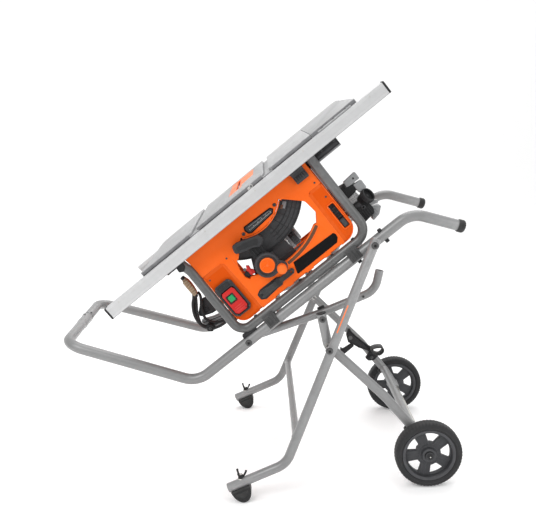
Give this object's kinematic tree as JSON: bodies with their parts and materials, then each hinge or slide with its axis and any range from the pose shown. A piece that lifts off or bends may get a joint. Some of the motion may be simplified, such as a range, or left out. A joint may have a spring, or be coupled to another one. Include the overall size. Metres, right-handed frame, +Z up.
{
  "type": "jobsite table saw",
  "caption": "Portable table saw with tilting blade, sliding extension rails and a folding wheeled stand, part way folded for moving",
  "frame": {"origin": "on the ground under the middle of the whole object's box, in the tilted pose it rests in", "axes": "+Z up; +Y from the front (operator's) face towards the back of the saw; +X from the folded loop end towards the carrying handles and wheels"},
  "size_m": [1.1971, 0.752, 1.1948],
  "materials": {
    "stand_grey": "satin grey paint on steel tube",
    "orange_plastic": "moulded orange plastic",
    "cast_alloy": "ground and cast light alloy",
    "extruded_alloy": "anodised extrusion",
    "plain_steel": "ground steel",
    "black_plastic": "moulded black plastic",
    "rubber_black": "soft black rubber",
    "tyre_black": "black tread rubber",
    "scale_white": "plain pale plate",
    "stop_red": "moulded red plastic",
    "start_green": "moulded green plastic"
  },
  "bodies": {
    "saw_frame": {"frame_tube_front": "stand_grey", "frame_tube_rear": "stand_grey", "handle_cap_front": "black_plastic", "handle_cap_rear": "black_plastic", "loop_joint_sleeve": "stand_grey", "cage_hoop_front": "stand_grey", "cage_hoop_rear": "stand_grey", "cage_clamp_front_left": "rubber_black", "cage_clamp_front_right": "rubber_black", "cage_clamp_rear_left": "rubber_black", "cage_clamp_rear_right": "rubber_black", "housing_shell": "orange_plastic", "front_panel": "orange_plastic", "scale_plate": "scale_white", "blade_wrench": "plain_steel", "main_table": "cast_alloy", "throat_plate": "orange_plastic", "rail_carrier": "black_plastic", "slide_channel": "extruded_alloy", "front_trunnion": "cast_alloy", "rear_trunnion": "cast_alloy", "switch_bezel": "black_plastic", "fence_storage_bracket": "stand_grey", "dust_port": "black_plastic", "power_cord": "rubber_black", "leg_bolt_front": "black_plastic", "leg_bolt_rear": "black_plastic", "link_bolt_front": "black_plastic", "link_bolt_rear": "black_plastic"},
    "foot_leg": {"foot_leg_frame": "stand_grey", "foot_pad_front": "rubber_black", "foot_pad_rear": "rubber_black", "cross_bolt_front": "black_plastic", "cross_bolt_rear": "black_plastic"},
    "foot_knob_f": {"foot_knob_front": "black_plastic"},
    "foot_knob_r": {"foot_knob_rear": "black_plastic"},
    "wheel_leg": {"wheel_leg_frame": "stand_grey"},
    "wheel_f": {"wheel_rim_front": "black_plastic", "wheel_tyre_front": "tyre_black"},
    "wheel_r": {"wheel_rim_rear": "black_plastic", "wheel_tyre_rear": "tyre_black"},
    "pedal": {"release_pedal": "black_plastic"},
    "link": {"link_frame": "stand_grey"},
    "extension": {"extension_table": "cast_alloy", "front_rail": "extruded_alloy", "rear_rail": "extruded_alloy", "front_rail_cap_left": "black_plastic", "front_rail_cap_right": "black_plastic"},
    "rail_lock": {"rail_lock_lever": "black_plastic"},
    "carriage": {"bevel_carriage": "cast_alloy"},
    "bevel_lock": {"bevel_lock_lever": "black_plastic"},
    "lift": {"arbor_case": "cast_alloy", "motor": "black_plastic"},
    "screw": {"lift_screw": "plain_steel"},
    "wheel_crank": {"handwheel": "black_plastic"},
    "crank_grip": {"crank_knob": "orange_plastic"},
    "saw_blade": {"blade": "plain_steel", "arbor_shaft": "plain_steel"},
    "stop_paddle": {"switch_paddle": "stop_red"},
    "start_key": {"start_button": "start_green"}
  },
  "joints": [
    {"name": "leg_fold", "type": "hinge", "parent": "saw_frame", "child": "foot_leg", "pos_m": [0.331, 0, 0.7441], "axis": [0, -1, 0], "range_deg": [-16, 13.5]},
    {"name": "wheel_leg_fold", "type": "hinge", "parent": "foot_leg", "child": "wheel_leg", "pos_m": [0.1971, 0, 0.4473], "axis": [0, -1, 0], "range_deg": [-30, 25]},
    {"name": "link_fold", "type": "hinge", "parent": "saw_frame", "child": "link", "pos_m": [-0.034, 0, 0.4613], "axis": [0, -1, 0], "range_deg": [-12, 14]},
    {"name": "wheel_spin_front", "type": "hinge", "parent": "wheel_leg", "child": "wheel_f", "pos_m": [0.4928, -0.295, 0.1016], "axis": [0, 1, 0], "continuous": true},
    {"name": "wheel_spin_rear", "type": "hinge", "parent": "wheel_leg", "child": "wheel_r", "pos_m": [0.4928, 0.295, 0.1016], "axis": [0, 1, 0], "continuous": true},
    {"name": "pedal_press", "type": "hinge", "parent": "wheel_leg", "child": "pedal", "pos_m": [0.3232, 0.24, 0.304], "axis": [0, 1, 0], "range_deg": [0, 14], "stiffness_Nm_per_rad": 4},
    {"name": "foot_knob_spin_front", "type": "hinge", "parent": "foot_leg", "child": "foot_knob_f", "pos_m": [-0.0704, -0.352, 0.09], "axis": [0, 0, 1], "continuous": true},
    {"name": "foot_knob_spin_rear", "type": "hinge", "parent": "foot_leg", "child": "foot_knob_r", "pos_m": [-0.0704, 0.352, 0.09], "axis": [0, 0, 1], "continuous": true},
    {"name": "extension_slide", "type": "slide", "parent": "saw_frame", "child": "extension", "axis": [0.7934, 0, 0.6088], "range_m": [0, 0.21]},
    {"name": "rail_lock_swing", "type": "hinge", "parent": "saw_frame", "child": "rail_lock", "pos_m": [0.11536, -0.2765, 0.95657], "axis": [-0.7934, 0, -0.6088], "range_deg": [0, 40]},
    {"name": "bevel_tilt", "type": "hinge", "parent": "saw_frame", "child": "carriage", "pos_m": [-0.05854, 0, 0.89246], "axis": [0, -1, 0], "range_deg": [0, 45]},
    {"name": "bevel_lock_swing", "type": "hinge", "parent": "carriage", "child": "bevel_lock", "pos_m": [0.02743, -0.28, 0.69499], "axis": [0, 1, 0], "range_deg": [0, 30]},
    {"name": "handwheel_spin", "type": "hinge", "parent": "carriage", "child": "wheel_crank", "pos_m": [0.02743, -0.3, 0.69499], "axis": [0, 1, 0], "range_deg": [0, 3600]},
    {"name": "lift_screw_spin", "type": "hinge", "parent": "carriage", "child": "screw", "pos_m": [0.05716, 0.166, 0.72032], "axis": [-0.6088, 0, 0.7934], "range_deg": [0, 3600]},
    {"name": "blade_lift", "type": "slide", "parent": "carriage", "child": "lift", "axis": [-0.6088, 0, 0.7934], "range_m": [0, 0.08]},
    {"name": "crank_knob_spin", "type": "hinge", "parent": "wheel_crank", "child": "crank_grip", "pos_m": [0.0681, -0.325, 0.68964], "axis": [0, 1, 0], "continuous": true},
    {"name": "blade_spin", "type": "hinge", "parent": "lift", "child": "saw_blade", "pos_m": [0.0206, 0.02, 0.78932], "axis": [0.7934, 0, 0.6088], "continuous": true},
    {"name": "stop_paddle_swing", "type": "hinge", "parent": "saw_frame", "child": "stop_paddle", "pos_m": [-0.0921, -0.2758, 0.61587], "axis": [-0.7934, 0, -0.6088], "range_deg": [0, 12]},
    {"name": "start_button_press", "type": "slide", "parent": "saw_frame", "child": "start_key", "axis": [0, 1, 0], "range_m": [0, 0.003], "stiffness_N_per_m": 300}
  ],
  "couplings": [
    {"joint": "wheel_leg_fold", "follows": "leg_fold", "ratio": 1.816},
    {"joint": "link_fold", "follows": "leg_fold", "ratio": -0.862},
    {"joint": "handwheel_spin", "follows": "blade_lift", "rad_per_m": 785.4},
    {"joint": "lift_screw_spin", "follows": "blade_lift", "rad_per_m": 785.4}
  ]
}
